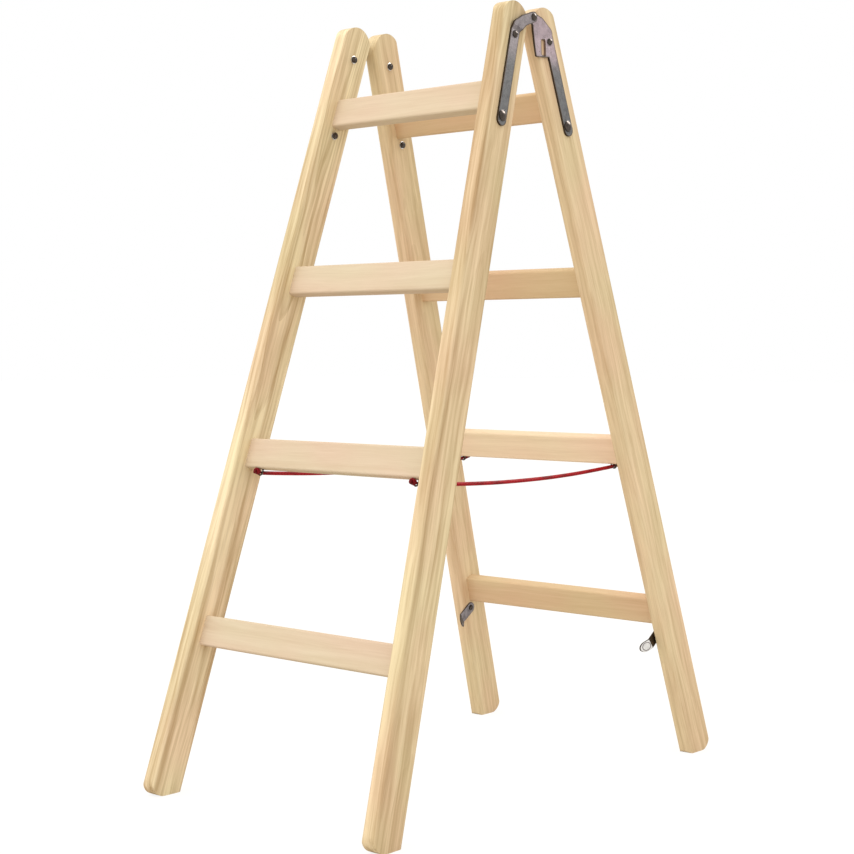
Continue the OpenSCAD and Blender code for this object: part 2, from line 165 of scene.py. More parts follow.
class LADDER_PG_cord(bpy.types.PropertyGroup):
    """Thickness, braid and colours of the cords and their knots"""
    diameter: bpy.props.FloatProperty(
        name="Diameter", description="Diameter of the spreader cords",
        unit="LENGTH", min=3 * MM, max=8 * MM, default=6 * MM)
    strands: bpy.props.IntProperty(
        name="Strands", description="Strands that the braid carries each way round",
        min=4, max=12, default=8)
    braid_pitch: bpy.props.FloatProperty(
        name="Braid Pitch", description="Length in which a strand goes once round the cord",
        unit="LENGTH", min=8 * MM, max=60 * MM, default=26 * MM)
    colour: bpy.props.FloatVectorProperty(
        name="Colour", description="Colour of the braid",
        subtype="COLOR", size=3, min=0, max=1, default=srgb("#AC0A18"))
    # Painted shade: the darker colour in the dips between the strands
    dip_shade: bpy.props.FloatVectorProperty(
        name="Shade", description="Colour deep between the strands",
        subtype="COLOR", size=3, min=0, max=1, default=srgb("#66080F"))
    # The knots are darker than the cord
    knot: bpy.props.FloatVectorProperty(
        name="Knot", description="Colour of the knots, darker than the cord",
        subtype="COLOR", size=3, min=0, max=1, default=srgb("#7C0C16"))


class LADDER_PG_stage(bpy.types.PropertyGroup):
    """Camera and light"""
    camera_at: bpy.props.FloatVectorProperty(
        name="Camera", description="Where the camera stands",
        subtype="TRANSLATION", unit="LENGTH", size=3, default=(1.7441, -2.0305, 0.6688))
    camera_yaw: bpy.props.FloatProperty(
        name="Camera Yaw", description="Turn of the camera to the left of straight ahead",
        subtype="ANGLE", default=math.radians(41.176))
    camera_pitch: bpy.props.FloatProperty(
        name="Camera Pitch", description="Tilt of the camera above level",
        subtype="ANGLE", default=math.radians(-2.562))
    lens: bpy.props.FloatProperty(
        name="Lens", description="Focal length of the camera in millimetres", default=71.4)
    key_power: bpy.props.FloatProperty(
        name="Key Light", description="Power of the large front light in watts", min=0, default=24)
    sheen_power: bpy.props.FloatProperty(
        name="Sheen Light", description="Power of the small light that only gleams on metal, in watts",
        min=0, default=130)
    fill: bpy.props.FloatProperty(
        name="Fill", description="Strength of the light from the front and the sides",
        min=0, default=1.43)
    back: bpy.props.FloatProperty(
        name="Back", description="Strength of the light from behind", min=0, default=1.05)


# ---------------------------------------------------------------- helpers


def add_node(tree, kind, inputs=None, stops=None, **settings):
    """Adds a node; inputs maps its sockets to values or to other nodes' sockets.

    stops are a colour ramp's places and colours, and settings the node's own properties.
    """
    node = tree.nodes.new(kind)
    for name, value in settings.items():
        setattr(node, name, value)
    for name, value in (inputs or {}).items():
        if isinstance(value, bpy.types.NodeSocket):
            tree.links.new(value, node.inputs[name])
        else:
            node.inputs[name].default_value = value
    for i, (place, colour) in enumerate(stops or []):
        # A new ramp has two stops already
        if i > 1:
            node.color_ramp.elements.new(place)
        node.color_ramp.elements[i].position = place
        node.color_ramp.elements[i].color = (*colour[:3], 1)
    return node


def new_material(name):
    """An empty material with its node tree."""
    made = bpy.data.materials.new(name)
    made.use_nodes = True
    made.node_tree.nodes.clear()
    return made, made.node_tree


def dress(node, material):
    """Gives a CAD node its material."""
    data = frame["nodes"][node].data
    data.materials.clear()
    data.materials.append(material)


def middle(node):
    """The middle of a CAD node's box."""
    low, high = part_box(node)
    return (Vector(low) + Vector(high)) / 2


def frame_point(which, x, out, down):
    """A point of the front or rear frame.

    x is across, out from the pivot to the frame's outside, and down along the stiles.
    """
    sign = -1 if which == "front" else 1
    y = out * math.cos(LEAN) + down * math.sin(LEAN)
    z = out * math.sin(LEAN) - down * math.cos(LEAN)
    return Vector((x, sign * y, PIVOT.z + z))


def on_stile(which, side, out, drop, depth=0.0):
    """A place by a stile's outer face, and its directions outwards, away from the other frame and up.

    out is from the pivot to the frame's outside, drop is from the stile's top, and depth is outwards
    from the face.
    """
    sign = 1 if side == "right" else -1

    def at(d, y, z):
        x = FACE_X + d * math.cos(SPLAY) - z * math.sin(SPLAY)
        return frame_point(which, sign * x, y, -(d * math.sin(SPLAY) + z * math.cos(SPLAY)))

    level = PIVOT_DROP - drop
    origin = at(depth, out, level)
    return (origin, at(depth + 1, out, level) - origin, at(depth, out + 1, level) - origin,
            at(depth, out, level + 1) - origin)


def standing_on(origin, up, ahead):
    """The place whose Z points up and whose X points ahead, both square to each other."""
    up = up.normalized()
    ahead = (ahead - up * ahead.dot(up)).normalized()
    side = up.cross(ahead)
    return Matrix.Translation(origin) @ Matrix((ahead, side, up)).transposed().to_4x4()


def choose(piece, kind, test):
    """Enters edit mode with just those vertices, edges or polygons selected that pass the test."""
    bpy.ops.object.mode_set(mode="OBJECT")
    kinds = ("vertices", "edges", "polygons")
    bpy.context.tool_settings.mesh_select_mode = tuple(kind == each for each in kinds)
    mesh = piece.data
    for items in (mesh.vertices, mesh.edges, mesh.polygons):
        items.foreach_set("select", [False] * len(items))
    for item in getattr(mesh, kind):
        item.select = test(item)
    bpy.ops.object.mode_set(mode="EDIT")


def take(*pieces):
    """Selects just these pieces, the first one active."""
    if bpy.context.mode != "OBJECT":
        bpy.ops.object.mode_set(mode="OBJECT")
    bpy.ops.object.select_all(action="DESELECT")
    for piece in pieces:
        piece.select_set(True)
    bpy.context.view_layer.objects.active = pieces[0]


def copies_at(master, places, name):
    """One piece of the master's copies, one at each place; the master goes."""
    made = []
    for place in places:
        copy = master.copy()
        copy.data = master.data.copy()
        copy.data.transform(place)
        bpy.context.collection.objects.link(copy)
        made.append(copy)
    take(*made)
    if len(made) > 1:
        bpy.ops.object.join()
    piece = bpy.context.object
    piece.name = name
    bpy.data.objects.remove(master)
    return piece


def joined(*pieces):
    """The pieces as one, which keeps the first one's name."""
    take(*pieces)
    bpy.ops.object.join()
    return bpy.context.object


def finish_metal(piece, *materials, smooth=32):
    """Gives the piece its metal and smooths it, but for edges sharper than smooth, in degrees."""
    take(piece)
    for material in materials:
        piece.data.materials.append(material)
    bpy.ops.object.shade_smooth_by_angle(angle=math.radians(smooth))


# ---------------------------------------------------------------- materials


def planed_pine(name, turn, centre, light, dark, settings, figure, pith, shift):
    """Planed, unvarnished pine: soft pale and olive streaks along the grain, matt with a faint silk.

    turn brings the piece's length to Z and its thickness to X. figure is how strongly the rings and
    streaks show, pith is the heart's place in that section, and shift is the board's place in the
    noise, so that no two boards are alike.
    """
    # Thickness, width and length: how often each pattern changes in a metre
    drifts, streaks, patches = (12, 12, 2.8), (100, 100, 2.5), (14, 14, 6)
    fibres_along = 14
    # Sideways drift of the grain, and how far the heart runs off in a metre
    drift_wide, run_off = 22 * MM, 25 * MM
    # Lightness from 0, the darkest colour, to 1, the palest, and how far it swings
    mean, streak_swing, fibre_swing = 0.66, 0.5 * figure, 0.15
    faintest_ring, strongest_ring = 0.04 * figure, 0.42 * figure

    material, tree = new_material(name)
    to_middle = -(turn.to_matrix() @ centre)
    place = add_node(tree, "ShaderNodeTexCoord")
    own = add_node(tree, "ShaderNodeMapping",
                   {"Vector": place.outputs["Object"], "Location": to_middle, "Rotation": turn})

    # Slow drift of the grain: a bend every 0.36 m along the piece and 83 mm across it
    slow = add_node(tree, "ShaderNodeMapping",
                    {"Vector": own.outputs[0], "Scale": drifts, "Location": (shift, 0, shift)})
    drift = add_node(tree, "ShaderNodeTexNoise",
                     {"Vector": slow.outputs[0], "Scale": 1, "Detail": 3, "Roughness": 0.5})
    drift_at = add_node(tree, "ShaderNodeVectorMath",
                        {0: drift.outputs["Color"], 1: (0.5, 0.5, 0.5)}, operation="SUBTRACT")
    drifted = add_node(tree, "ShaderNodeVectorMath",
                       {0: drift_at.outputs[0], 1: (drift_wide, drift_wide, 0), 2: own.outputs[0]},
                       operation="MULTIPLY_ADD")

    # Growth rings round the heart, which isn't quite in line with the piece
    flat = add_node(tree, "ShaderNodeMapping",
                    {"Vector": drifted.outputs[0], "Location": (-pith[0], -pith[1], 0),
                     "Scale": (1, 1, 0)})
    along = add_node(tree, "ShaderNodeSeparateXYZ", {0: own.outputs[0]})
    sideways = add_node(tree, "ShaderNodeCombineXYZ", {0: along.outputs["Z"]})
    heart = add_node(tree, "ShaderNodeVectorMath",
                     {0: sideways.outputs[0], 1: (run_off, 0, 0), 2: flat.outputs[0]},
                     operation="MULTIPLY_ADD")
    radius = add_node(tree, "ShaderNodeVectorMath", {0: heart.outputs[0]}, operation="LENGTH")
    ring = add_node(tree, "ShaderNodeMath",
                    {0: radius.outputs["Value"], 1: settings.ring_width}, operation="DIVIDE")
    # Years differ: every three rings or so lie closer, wider or fainter
    years = add_node(tree, "ShaderNodeTexNoise",
                     {"W": ring.outputs[0], "Scale": 0.3, "Detail": 2}, noise_dimensions="1D")
    uneven = add_node(tree, "ShaderNodeMath",
                      {0: years.outputs[0], 1: 3.0, 2: ring.outputs[0]}, operation="MULTIPLY_ADD")
    # Each ring darkens slowly through its year and ends at a sharper line
    phase = add_node(tree, "ShaderNodeMath", {0: uneven.outputs[0]}, operation="FRACT")
    late = add_node(tree, "ShaderNodeValToRGB", {0: phase.outputs[0]},
                    stops=[(0, (0, 0, 0)), (1, (0, 0, 0)), (0.3, (0.1,) * 3), (0.7, (0.6,) * 3),
                           (0.85, (1, 1, 1)), (0.94, (0.7,) * 3)])
    late_share = add_node(tree, "ShaderNodeMapRange",
                          {0: years.outputs[0], 1: 0.4, 2: 0.64, 3: faintest_ring, 4: strongest_ring})
    late_here = add_node(tree, "ShaderNodeMath", {0: late.outputs[0], 1: late_share.outputs[0]},
                         operation="MULTIPLY")

    # Fine fibres, 70 mm long and drawn wider than real ones so that they show
    fibres_across = 1 / settings.fibre_width
    fine = add_node(tree, "ShaderNodeMapping",
                    {"Vector": drifted.outputs[0],
                     "Scale": (fibres_across, fibres_across, fibres_along)})
    fibre = add_node(tree, "ShaderNodeTexNoise",
                     {"Vector": fine.outputs[0], "Scale": 1, "Detail": 3, "Roughness": 0.65})

    # Broad streaks, about 10 mm wide and 0.4 m long, where resin and light wood alternate
    broad = add_node(tree, "ShaderNodeMapping",
                     {"Vector": drifted.outputs[0], "Scale": streaks, "Location": (0, shift, 0)})
    streak = add_node(tree, "ShaderNodeTexNoise",
                      {"Vector": broad.outputs[0], "Scale": 1, "Detail": 2, "Roughness": 0.5})

    # How light the wood is: streaks, then fibres, less the late wood of each ring
    streaked = add_node(tree, "ShaderNodeMapRange",
                        {0: streak.outputs[0], 1: 0.3, 2: 0.7, 3: mean - streak_swing,
                         4: mean + streak_swing})
    fibres = add_node(tree, "ShaderNodeMapRange",
                      {0: fibre.outputs[0], 1: 0.3, 2: 0.7, 3: -fibre_swing, 4: fibre_swing})
    grained = add_node(tree, "ShaderNodeMath", {0: streaked.outputs[0], 1: fibres.outputs[0]},
                       operation="ADD")
    lightness = add_node(tree, "ShaderNodeMath", {0: grained.outputs[0], 1: late_here.outputs[0]},
                         operation="SUBTRACT", use_clamp=True)
    coloured = add_node(tree, "ShaderNodeMix",
                        {0: lightness.outputs[0], 6: (*dark, 1), 7: (*light, 1)}, data_type="RGBA")

    # Patches a hand wide, 0.17 m long, where the wood turns from greenish to pinkish
    patch_at = add_node(tree, "ShaderNodeMapping",
                        {"Vector": own.outputs[0], "Scale": patches, "Location": (0, 0, shift)})
    patch = add_node(tree, "ShaderNodeTexNoise",
                     {"Vector": patch_at.outputs[0], "Scale": 1, "Detail": 1})
    hue = add_node(tree, "ShaderNodeValToRGB", {0: patch.outputs[0]},
                   stops=[(0.35, srgb("#FCFFF7")), (0.65, srgb("#FFF8F5"))])
    tinted = add_node(tree, "ShaderNodeMix",
                      {0: 1.0, 6: coloured.outputs[2], 7: hue.outputs[0]},
                      data_type="RGBA", blend_type="MULTIPLY")

    # The resinous dark streaks are a little silkier, and planing leaves the fibres just standing up
    rough = add_node(tree, "ShaderNodeMapRange", {0: lightness.outputs[0], 3: 0.66, 4: 0.8})
    bump = add_node(tree, "ShaderNodeBump",
                    {"Height": grained.outputs[0], "Strength": 0.2, "Distance": 0.25 * MM})
    shader = add_node(tree, "ShaderNodeBsdfPrincipled",
                      {"Base Color": tinted.outputs[2], "Roughness": rough.outputs[0],
                       "Normal": bump.outputs[0], "IOR": 1.3, "Specular IOR Level": 0.15})
    add_node(tree, "ShaderNodeOutputMaterial", {0: shader.outputs[0]})
    return material


def zinc_plate(name, colour, roughness, cloud_size=14 * MM, deepest=0.5, low_colour=None):
    """Zinc-plated steel: a dull grey metal with soft cloudy patches and faint rolling lines.

    cloud_size is how wide the patches are, and deepest how much of its light the colour keeps where it
    has tarnished most. low_colour, where there is one, is the colour of the hinges' straps, below the
    pivot.
    """
    # Heights between which the slotted and cranked heads of the hinges turn into the straps
    dull_below, bright_above = PIVOT.z - 80 * MM, PIVOT.z - 45 * MM

    material, tree = new_material(name)
    place = add_node(tree, "ShaderNodeTexCoord")
    # Clouds of the plating, from new to tarnished
    cloud = add_node(tree, "ShaderNodeTexNoise",
                     {"Vector": place.outputs["Object"], "Scale": 1 / cloud_size, "Detail": 4,
                      "Roughness": 0.6})
    # Crystals of the plating, drawn 1.4 mm wide where real ones are 1 mm, so that they show
    crystal = add_node(tree, "ShaderNodeTexVoronoi",
                       {"Vector": place.outputs["Object"], "Scale": 700})
    tone = add_node(tree, "ShaderNodeMix",
                    {0: 0.15, 6: cloud.outputs["Color"], 7: crystal.outputs["Color"]}, data_type="RGBA")
    grey = add_node(tree, "ShaderNodeSeparateColor", {0: tone.outputs[2]})
    tints = [add_node(tree, "ShaderNodeValToRGB", {0: grey.outputs[0]},
                      stops=[(0.33, [c * deepest for c in each]), (0.62, each)])
             for each in (colour, low_colour) if each]
    colour_here = tints[0].outputs[0]
    if low_colour:
        height = add_node(tree, "ShaderNodeSeparateXYZ", {0: place.outputs["Object"]})
        up_here = add_node(tree, "ShaderNodeMapRange",
                           {0: height.outputs["Z"], 1: dull_below, 2: bright_above},
                           interpolation_type="SMOOTHSTEP")
        both = add_node(tree, "ShaderNodeMix",
                        {0: up_here.outputs[0], 6: tints[1].outputs[0], 7: colour_here},
                        data_type="RGBA")
        colour_here = both.outputs[2]
    # Tarnish is duller than new plating
    rough = add_node(tree, "ShaderNodeMapRange",
                     {0: cloud.outputs[0], 1: 0.3, 2: 0.7, 3: roughness + 0.14, 4: roughness - 0.08})
    # Rolling lines, about 1.1 mm apart and 25 mm long
    lines_at = add_node(tree, "ShaderNodeMapping",
                        {"Vector": place.outputs["Object"], "Scale": (900, 900, 40)})
    lines = add_node(tree, "ShaderNodeTexNoise",
                     {"Vector": lines_at.outputs[0], "Scale": 1, "Detail": 2})
    bump = add_node(tree, "ShaderNodeBump",
                    {"Height": lines.outputs[0], "Strength": 0.12, "Distance": 0.1 * MM})
    shader = add_node(tree, "ShaderNodeBsdfPrincipled",
                      {"Base Color": colour_here, "Metallic": 1.0, "Roughness": rough.outputs[0],
                       "Normal": bump.outputs[0]})
    add_node(tree, "ShaderNodeOutputMaterial", {0: shader.outputs[0]})
    return material


def braided_cord(name, colour, dip_shade, worn_dark="#B09090"):
    """Braided polypropylene cord: fine strands that cross, darker where they dip under each other as painted
    shade.

    worn_dark is the colour that the greasiest lengths multiply the cord's own by.
    """
    material, tree = new_material(name)
    around = add_node(tree, "ShaderNodeUVMap", uv_map="braid")
    # The map counts strands, round the cord and along it, and they cross in two slanting rows
    split = add_node(tree, "ShaderNodeSeparateXYZ", {0: around.outputs[0]})
    rows = []
    for way in ("ADD", "SUBTRACT"):
        slant = add_node(tree, "ShaderNodeMath", {0: split.outputs[0], 1: split.outputs[1]},
                         operation=way)
        rows.append(add_node(tree, "ShaderNodeMath", {0: slant.outputs[0], 1: 1.0},
                             operation="PINGPONG"))
    over = add_node(tree, "ShaderNodeMath", {0: rows[0].outputs[0], 1: rows[1].outputs[0]},
                    operation="MAXIMUM")
    # Single yarns, six across each strand
    yarn_at = add_node(tree, "ShaderNodeMapping", {"Vector": around.outputs[0], "Scale": (6, 2.5, 1)})
    yarn = add_node(tree, "ShaderNodeTexNoise",
                    {"Vector": yarn_at.outputs[0], "Scale": 1, "Detail": 2})
    depth = add_node(tree, "ShaderNodeMath", {0: yarn.outputs[0], 1: 0.35, 2: over.outputs[0]},
                     operation="MULTIPLY_ADD")
    # Wear: darker, greasier lengths every few centimetres
    worn_at = add_node(tree, "ShaderNodeMapping",
                       {"Vector": around.outputs[0], "Scale": (0.05, 0.1, 1)})
    worn = add_node(tree, "ShaderNodeTexNoise",
                    {"Vector": worn_at.outputs[0], "Scale": 1, "Detail": 2})
    # Painted shade: the dips between the strands take the darker colour, and the strands' backs the cord's own
    tint = add_node(tree, "ShaderNodeValToRGB", {0: depth.outputs[0]},
                    stops=[(0.35, dip_shade), (0.8, colour)])
    # How dirty: the greasy lengths take most of their red
    grime = add_node(tree, "ShaderNodeValToRGB", {0: worn.outputs[0]},
                     stops=[(0.38, srgb(worn_dark)), (0.52, srgb("#FFFFFF"))])
    coloured = add_node(tree, "ShaderNodeMix", {0: 0.8, 6: tint.outputs[0], 7: grime.outputs[0]},
                        data_type="RGBA", blend_type="MULTIPLY")
    bump = add_node(tree, "ShaderNodeBump",
                    {"Height": depth.outputs[0], "Strength": 0.6, "Distance": 0.3 * MM})
    shader = add_node(tree, "ShaderNodeBsdfPrincipled",
                      {"Base Color": coloured.outputs[2], "Roughness": 0.55, "IOR": 1.49,
                       "Specular IOR Level": 0.15, "Normal": bump.outputs[0]})
    add_node(tree, "ShaderNodeOutputMaterial", {0: shader.outputs[0]})
    return material


# ---------------------------------------------------------------- cords


def smooth_line(points, step):
    """Points every step or so along a smooth curve (Catmull-Rom) through the given points."""
    line = []
    last = len(points) - 1
    for i in range(last):
        a, b = points[i], points[i + 1]
        before = points[i - 1] if i else a * 2 - b
        after = points[i + 2] if i + 2 <= last else b * 2 - a
        count = max(1, round((b - a).length / step))
        for k in range(count):
            t = k / count
            line.append(0.5 * (2 * a + (b - before) * t
                               + (2 * before - 5 * a + 4 * b - after) * t * t
                               + (3 * a - before - 3 * b + after) * t ** 3))
    line.append(points[last].copy())
    return line


def length_of(points):
    """The length of the straight lines from point to point."""
    return sum((b - a).length for a, b in zip(points, points[1:]))


def sweep_braid(name, points, radius, settings, start_round=0.0, end_round=0.0, sides=40,
                step=0.8 * MM):
    """A braided tube along points and its length.

    start_round and end_round are the lengths over which it is rounded off at its ends. sides is how
    many faces go round it, and step how long each is.
    """
    # Shares of the radius: the dips between the strands, and how far their backs stand above those
    dip, crown = 0.93, 0.07
    line = smooth_line(points, step)
    first = (line[1] - line[0]).normalized()
    up = Vector((1, 0, 0)) if abs(first.x) < 0.9 else Vector((0, 0, 1))
    up = (up - first * up.dot(first)).normalized()
    vertices, faces, coordinates = [], [], []
    total = length_of(line)
    strands = settings.strands
    done = 0.0
    for i, point in enumerate(line):
        if i:
            done += (point - line[i - 1]).length
        ahead = line[min(i + 1, len(line) - 1)] - line[max(i - 1, 0)]
        ahead.normalize()
        up = (up - ahead * up.dot(ahead)).normalized()
        side = ahead.cross(up)
        turns = done / settings.braid_pitch
        shrink = 1.0
        for span, away in ((start_round, done), (end_round, total - done)):
            if span and away < span:
                # A quarter circle, which stops just short of a point
                shrink = min(shrink, max(0.02, math.sqrt(max(0.0, 1 - (1 - away / span) ** 2))))
        for k in range(sides):
            share = k / sides
            angle = 2 * math.pi * share
            right = abs(math.sin(math.pi * strands * (share + turns)))
            left = abs(math.sin(math.pi * strands * (share - turns)))
            here = radius * shrink * (dip + crown * max(right, left))
            vertices.append(point + (up * math.cos(angle) + side * math.sin(angle)) * here)
        coordinates.append(turns * strands)
    rings = len(line)
    for i in range(rings - 1):
        for k in range(sides):
            n = (k + 1) % sides
            faces.append((i * sides + k, i * sides + n, (i + 1) * sides + n, (i + 1) * sides + k))
    faces.append(tuple(range(sides - 1, -1, -1)))
    faces.append(tuple((rings - 1) * sides + k for k in range(sides)))
    mesh = bpy.data.meshes.new(name)
    mesh.from_pydata(vertices, [], faces)
    layer = mesh.uv_layers.new(name="braid")
    for polygon in mesh.polygons:
        wraps = polygon.index % sides == sides - 1 and len(polygon.vertices) == 4
        for corner, vertex in zip(polygon.loop_indices, polygon.vertices):
            k = vertex % sides
            # The last face of a ring ends at a whole turn, where the first one began at none
            share = 1.0 if wraps and k == 0 else k / sides
            layer.data[corner].uv = (share * strands, coordinates[vertex // sides])
    mesh.shade_smooth()
    made = bpy.data.objects.new(name, mesh)
    bpy.context.collection.objects.link(made)
    return made, total


class LADDER_OT_cords(bpy.types.Operator):
    """Adds the two spreader cords, each in a front and a rear half that meet at mid-span"""
    bl_idname = "ladder.cords"
    bl_label = "Spreader Cords"

    def execute(self, context):
        settings = context.scene.ladder_cord
        # Braided polypropylene: a soft gleam on strong red strands, with greasy lengths
        red = braided_cord("Braided red polypropylene cord", settings.colour, settings.dip_shade)
        radius = settings.diameter / 2
        for which, sign in (("front", 1), ("rear", -1)):
            for side, x in (("left", -CORD_X), ("right", CORD_X)):
                points = [Vector((x, sign * y, z)) for y, z in CORD_ROUTE]
                # The rounded end reaches back past the turning point, to the knot
                back = (points[0] - points[1]).normalized()
                points.insert(0, points[0] + back * radius * 0.95)
                name = f"Cord.{which}.{side}"
                made, length = sweep_braid(name, points, radius, settings, start_round=radius)
                made.data.materials.append(red)
                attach(made, f"cord_{which}_{side}")
                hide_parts(f"cord_{which}_{side}")
        return {"FINISHED"}


# ---------------------------------------------------------------- knots


class LADDER_OT_knots(bpy.types.Operator):
    """Ties a stopper knot in each end of the cords, outside the staples"""
    bl_idname = "ladder.knots"
    bl_label = "Stopper Knots"

    def execute(self, context):
        settings = context.scene.ladder_cord
        # The same braid, darker, with little of its gleam
        red = braided_cord("Dirty red cord of the knots", settings.knot, settings.dip_shade,
                           worn_dark="#604848")
        # Half the cord's thickness where it is pulled tight, the loops' half width, and how far out
        # from the pivot the core and the loops lie; the tail's points are aside, out and down
        pulled = 1.9 * MM
        loop = 1.65 * pulled
        core = (0.0298, 0.0315, 0.033, 0.035, 0.041)
        loops_in, loops_deep = 0.0352, 0.0078
        tail = ((1 * MM, 0.0415, 2.6 * MM), (2 * MM, 0.0475, 3.4 * MM))
        wraps, steps = 2.5, 40
        for which in ("front", "rear"):
            for side, x in (("left", -CORD_X), ("right", CORD_X)):
                # Straight out through the staple, in loops round itself back towards it, and the tail
                points = [frame_point(which, x, out, KNOT_DOWN) for out in core]
                for i in range(1, steps + 1):
                    share = i / steps
                    angle = 2 * math.pi * wraps * share
                    ring = loop * min(1.0, share * 6)
                    points.append(frame_point(which, x + ring * math.cos(angle),
                                              loops_in + loops_deep * (1 - share),
                                              KNOT_DOWN + ring * math.sin(angle)))
                for aside, out, below in tail:
                    points.append(frame_point(which, x + aside, out, KNOT_DOWN + below))
                made, _ = sweep_braid(f"Knot.{which}.{side}", points, pulled, settings,
                                      end_round=pulled, sides=24, step=0.7 * MM)
                made.data.materials.append(red)
                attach(made, f"{which}_frame")
                if side == "left":
                    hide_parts(f"{which}_knots")
        return {"FINISHED"}


# ---------------------------------------------------------------- wood


class LADDER_OT_stiles(bpy.types.Operator):
    """Gives the four stiles their pine, with the grain along each"""
    bl_idname = "ladder.stiles"
    bl_label = "Stiles"

    def execute(self, context):
        wood = context.scene.ladder_wood
        # Each board's heart, in metres, its place in the noise, its figure and its tint. The tints darken the
        # whole front right board as painted shade and make the front left one paler and cooler as painted
        # highlight
        boards = {
            ("front", "right"): ((-0.045, 0.012), 3.1, 0.72, (0.92, 0.91, 0.9)),
            ("front", "left"): ((0.040, -0.008), 11.7, 0.85, (1.0, 1.02, 1.04)),
            ("rear", "right"): ((0.065, 0.020), 23.3, 0.4, (0.99, 0.98, 0.99)),
            ("rear", "left"): ((-0.055, -0.014), 37.9, 0.36, (1.0, 0.99, 1.0)),
        }
        for (which, side), (pith, shift, figure, tint) in boards.items():
            node = f"{which}_stile_{side}"
            turn = Euler((LEAN if which == "front" else -LEAN,
                          SPLAY if side == "right" else -SPLAY, 0))
            light, dark = ([c * k for c, k in zip(colour, tint)]
                           for colour in (wood.stile_light, wood.stile_dark))
            dress(node, planed_pine(f"Planed pine {which} {side} stile", turn, middle(node),
                                    light, dark, wood, figure, pith, shift))
        return {"FINISHED"}


class LADDER_OT_rungs(bpy.types.Operator):
    """Gives the eight rungs their pine, with the grain along each"""
    bl_idname = "ladder.rungs"
    bl_label = "Rungs"

    def execute(self, context):
        wood = context.scene.ladder_wood
        # Rungs have a fainter figure than stiles, and streaks this much darker and browner
        figure, streak_tint = 0.32, (0.80, 0.74, 0.66)
        along = Euler((0, -math.pi / 2, 0)).to_matrix()
        frames = (("front", LEAN, wood.front_rung), ("rear", -LEAN, wood.rear_rung))
        for which, lean, colour in frames:
            turn = (along @ Euler((lean, 0, 0)).to_matrix()).to_euler()
            for i in range(1, 5):
                node = f"{which}_rung_{i}"
                # Each is a board of its own: another place in the noise, and the heart now on one
                # side and now on the other
                shift = 5.3 * i + (40 if which == "rear" else 0)
                pith = ((-1) ** i * (0.03 + 0.012 * i), 0.05 + 0.008 * i)
                light = wood.pale_rung if (which, i) == ("rear", 3) else colour
                dark = [c * k for c, k in zip(light, streak_tint)]
                dress(node, planed_pine(f"Planed pine {which} rung {i}", turn, middle(node),
                                        light, dark, wood, figure, pith, shift))
        return {"FINISHED"}


# ---------------------------------------------------------------- metal


def clean_copy(node, name, whole_faces=True):
    """A copy of a CAD node, its vertices merged and, where asked, its triangles made whole faces."""
    made = bpy.data.objects.new(name, frame["nodes"][node].data.copy())
    made.data.materials.clear()
    bpy.context.collection.objects.link(made)
    take(made)
    bpy.ops.object.mode_set(mode="EDIT")
    bpy.ops.mesh.select_all(action="SELECT")
    bpy.ops.mesh.remove_doubles(threshold=0.005 * MM)
    if whole_faces:
        bpy.ops.mesh.dissolve_limited(angle_limit=math.radians(0.6))
    bpy.ops.object.mode_set(mode="OBJECT")
    return made


def rounded_edges(piece, width, segments=2):
    """Rounds the piece's edges that are sharper than 40 degrees."""
    take(piece)
    bevel = piece.modifiers.new("Edges", "BEVEL")
    bevel.width = width
    bevel.segments = segments
    bevel.limit_method = "ANGLE"
    bevel.angle_limit = math.radians(40)
    bevel.use_clamp_overlap = True
    bpy.ops.object.modifier_apply(modifier=bevel.name)


def domed_head(radius, height, rim):
    """A domed round head that stands on the XY plane, on a short upright rim."""
    dome = height - rim
    # Radius of the ball whose cap is that wide and high
    ball = (radius ** 2 + dome ** 2) / (2 * dome)
    bpy.ops.object.select_all(action="DESELECT")
    bpy.ops.mesh.primitive_uv_sphere_add(segments=40, ring_count=44, radius=ball,
                                         location=(0, 0, height - ball))
    head = bpy.context.object
    bpy.ops.object.transform_apply(location=True)
    bpy.ops.object.mode_set(mode="EDIT")
    bpy.ops.mesh.select_all(action="SELECT")
    bpy.ops.mesh.bisect(plane_co=(0, 0, rim), plane_no=(0, 0, 1), use_fill=True, clear_inner=True)
    choose(head, "polygons", lambda face: face.normal.z < -0.99)
    bpy.ops.mesh.extrude_region_move(TRANSFORM_OT_translate={"value": (0, 0, -rim)})
    bpy.ops.mesh.select_all(action="SELECT")
    bpy.ops.mesh.normals_make_consistent(inside=False)
    bpy.ops.object.mode_set(mode="OBJECT")
    return head


def threaded_end(radius, length, pitch):
    """A short screw thread up the Z axis, its grooves drawn as plain rings."""
    # How wide the bottom of a groove and the end's chamfer are, beside what they taper from
    groove, chamfer = 0.86, 0.8
    bpy.ops.object.select_all(action="DESELECT")
    bpy.ops.mesh.primitive_cylinder_add(vertices=32, radius=radius * groove, depth=pitch / 2,
                                        location=(0, 0, pitch / 4))
    end = bpy.context.object
    bpy.ops.object.transform_apply(location=True)
    top = pitch / 2
    choose(end, "polygons", lambda face: face.normal.z > 0.99)
    wide = False
    while top < length - pitch / 2:
        grow = groove if wide else 1 / groove
        bpy.ops.mesh.extrude_region_move(TRANSFORM_OT_translate={"value": (0, 0, pitch / 2)})
        bpy.ops.transform.resize(value=(grow, grow, 1))
        wide = not wide
        top += pitch / 2
    bpy.ops.mesh.extrude_region_move(TRANSFORM_OT_translate={"value": (0, 0, length - top)})
    bpy.ops.transform.resize(value=(chamfer, chamfer, 1))
    bpy.ops.object.mode_set(mode="OBJECT")
    return end


def round_bar(radius, length, start=0.0):
    """A round bar or disc up the Z axis from start, with eased ends."""
    bpy.ops.object.select_all(action="DESELECT")
    bpy.ops.mesh.primitive_cylinder_add(vertices=40, radius=radius, depth=length,
                                        location=(0, 0, start + length / 2))
    bar = bpy.context.object
    bpy.ops.object.transform_apply(location=True)
    rounded_edges(bar, min(0.25 * MM, length / 5))
    return bar


